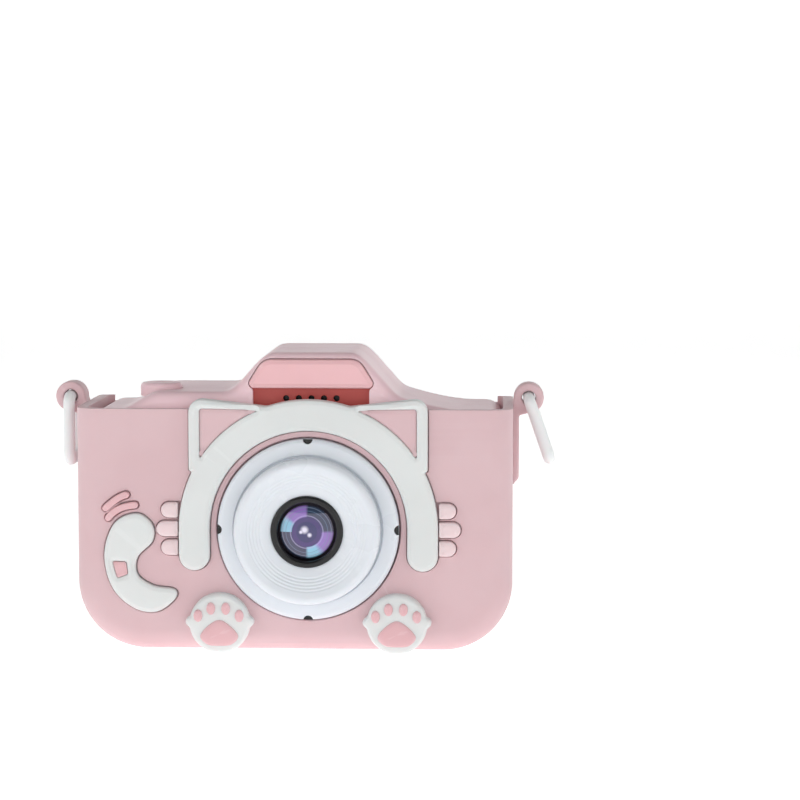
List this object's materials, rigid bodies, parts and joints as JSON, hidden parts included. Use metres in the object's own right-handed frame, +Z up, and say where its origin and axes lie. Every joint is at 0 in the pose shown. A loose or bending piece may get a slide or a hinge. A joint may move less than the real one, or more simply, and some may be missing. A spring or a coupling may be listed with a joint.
{
  "type": "kids digital camera",
  "caption": "Small children's digital camera in a pale pink cat-face silicone case, with a raised white lens, rear screen and keys, shutter button and two swinging strap rings",
  "frame": {"origin": "middle of the flat underside of the silicone case, on the case's own width and depth", "axes": "+X right as seen from the lens side, -Y the way the lens looks, +Z up"},
  "size_m": [0.0995, 0.0396, 0.0582],
  "materials": {
    "silicone": "satin moulded silicone rubber, pale pink",
    "white_inlay": "satin white silicone",
    "whisker_inlay": "satin pinkish white silicone",
    "coral_inlay": "satin coral pink silicone",
    "shell": "fine satin ABS, very pale pink",
    "hood": "satin ABS, coral pink",
    "grille": "matt deep coral plastic",
    "lens_white": "satin white ABS",
    "black_plastic": "matt black plastic",
    "lens_glass": "coated optical glass",
    "screen_glass": "gloss black acrylic window",
    "display": "liquid crystal panel",
    "circuit_board": "green solder mask",
    "flex": "amber polyimide film",
    "metal": "tin-plated steel",
    "screw": "blackened steel",
    "battery_foil": "laminated foil pouch",
    "button_white": "satin white ABS",
    "ring_white": "glossy white nylon"
  },
  "bodies": {
    "camera_body": {"silicone_case": "silicone", "cat_face": "white_inlay", "ear_inlays": "silicone", "whiskers": "whisker_inlay", "tail_inlay": "white_inlay", "tail_patch": "coral_inlay", "swish_marks": "coral_inlay", "paw_left": "white_inlay", "paw_right": "white_inlay", "paw_pads": "coral_inlay", "front_shell": "shell", "rear_shell": "shell", "hood_panel": "hood", "speaker_grille": "grille", "lens_base_ring": "lens_white", "lens_barrel": "lens_white", "lens_trim_ring": "black_plastic", "lens_front_glass": "lens_glass", "lens_holder": "black_plastic", "lens_elements": "lens_glass", "image_sensor_board": "circuit_board", "camera_flex": "flex", "main_board": "circuit_board", "button_board": "circuit_board", "button_switches": "metal", "battery": "battery_foil", "speaker": "black_plastic", "microphone": "metal", "display_panel": "display", "display_window": "screen_glass", "display_flex": "flex", "selfie_window": "screen_glass", "selfie_lens": "lens_glass", "selfie_camera_module": "black_plastic", "shutter_switch": "metal", "usb_port": "metal", "card_socket": "metal", "shell_screws": "screw", "board_screws": "metal", "strap_lug_left": "silicone", "strap_lug_right": "silicone"},
    "shutter": {"shutter_button": "shell"},
    "power_key": {"power_button": "button_white"},
    "up_key": {"up_button": "button_white"},
    "left_key": {"left_button": "button_white"},
    "right_key": {"right_button": "button_white"},
    "down_key": {"down_button": "button_white"},
    "card": {"memory_card": "black_plastic"},
    "ring_left": {"strap_ring_left": "ring_white"},
    "ring_right": {"strap_ring_right": "ring_white"}
  },
  "joints": [
    {"name": "shutter_press", "type": "slide", "parent": "camera_body", "child": "shutter", "axis": [0, 0, -1], "range_m": [0, 0.0006], "stiffness_N_per_m": 800, "springref_m": -0.0005},
    {"name": "power_press", "type": "slide", "parent": "camera_body", "child": "power_key", "axis": [0, -1, 0], "range_m": [0, 0.0004], "stiffness_N_per_m": 600, "springref_m": -0.0005},
    {"name": "up_press", "type": "slide", "parent": "camera_body", "child": "up_key", "axis": [0, -1, 0], "range_m": [0, 0.0004], "stiffness_N_per_m": 600, "springref_m": -0.0005},
    {"name": "left_press", "type": "slide", "parent": "camera_body", "child": "left_key", "axis": [0, -1, 0], "range_m": [0, 0.0004], "stiffness_N_per_m": 600, "springref_m": -0.0005},
    {"name": "right_press", "type": "slide", "parent": "camera_body", "child": "right_key", "axis": [0, -1, 0], "range_m": [0, 0.0004], "stiffness_N_per_m": 600, "springref_m": -0.0005},
    {"name": "down_press", "type": "slide", "parent": "camera_body", "child": "down_key", "axis": [0, -1, 0], "range_m": [0, 0.0004], "stiffness_N_per_m": 600, "springref_m": -0.0005},
    {"name": "card_slide", "type": "slide", "parent": "camera_body", "child": "card", "axis": [0, 0, -1], "range_m": [0, 0.012]},
    {"name": "ring_left_swing", "type": "hinge", "parent": "camera_body", "child": "ring_left", "pos_m": [-0.0456, 0, 0.0485], "axis": [0, 1, 0], "range_deg": [-2.5, 250]},
    {"name": "ring_right_swing", "type": "hinge", "parent": "camera_body", "child": "ring_right", "pos_m": [0.0456, 0, 0.0485], "axis": [0, -1, 0], "range_deg": [-21.5, 231]}
  ]
}
